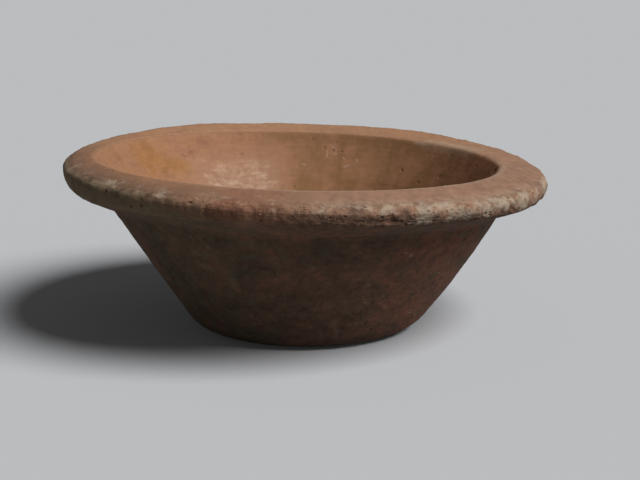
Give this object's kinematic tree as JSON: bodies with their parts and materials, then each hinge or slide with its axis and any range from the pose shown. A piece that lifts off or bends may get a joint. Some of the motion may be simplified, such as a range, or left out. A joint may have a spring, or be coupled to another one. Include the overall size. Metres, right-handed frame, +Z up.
{
  "type": "bowl",
  "caption": "Round unglazed earthenware bowl with a flat base, a steep flaring wall and a broad flat rim, slightly warped by drying and firing, for food or small things.",
  "frame": {"origin": "centre of the flat resting face, on the surface the bowl stands on, below the centre of the rim", "axes": "+Z up out of the mouth, -Y to the front of the picture, +X to its right"},
  "size_m": [0.17, 0.17, 0.063],
  "materials": {
    "bare_clay": "matt bare fired clay, brown, rough",
    "smoothed_clay": "matt orange fired clay, smoothed by hand inside, rougher outside",
    "worn_clay": "matt worn fired clay with pale lime and soil deposits on a crumbled edge"
  },
  "bodies": {
    "root": {"base_disc": "bare_clay", "wall": "smoothed_clay", "rim_flange": "worn_clay"}
  },
  "joints": []
}
